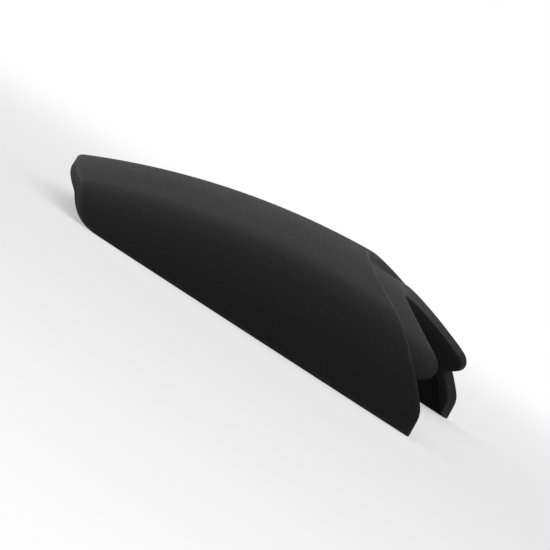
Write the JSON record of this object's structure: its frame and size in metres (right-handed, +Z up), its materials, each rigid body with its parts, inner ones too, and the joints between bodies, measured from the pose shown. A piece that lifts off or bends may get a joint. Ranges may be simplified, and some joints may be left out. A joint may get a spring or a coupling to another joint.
{
  "type": "rear mudguard extender",
  "caption": "Short arched plastic shell that carries a motorbike's rear mudguard on over the tyre, with a bowed tail, flared skirts and a stepped lap along its bowed front edge.",
  "frame": {"origin": "middle of the footprint, on the plane of the two straight lower edges", "axes": "+X towards the front of the bike, where the lap goes under the mudguard; +Y towards the bike's left; +Z up, square to the lower edges"},
  "size_m": [0.137, 0.1678, 0.0366],
  "materials": {
    "black_plastic": "satin black, fine moulded grain"
  },
  "bodies": {
    "root": {"mudguard_extender": "black_plastic"}
  },
  "joints": []
}
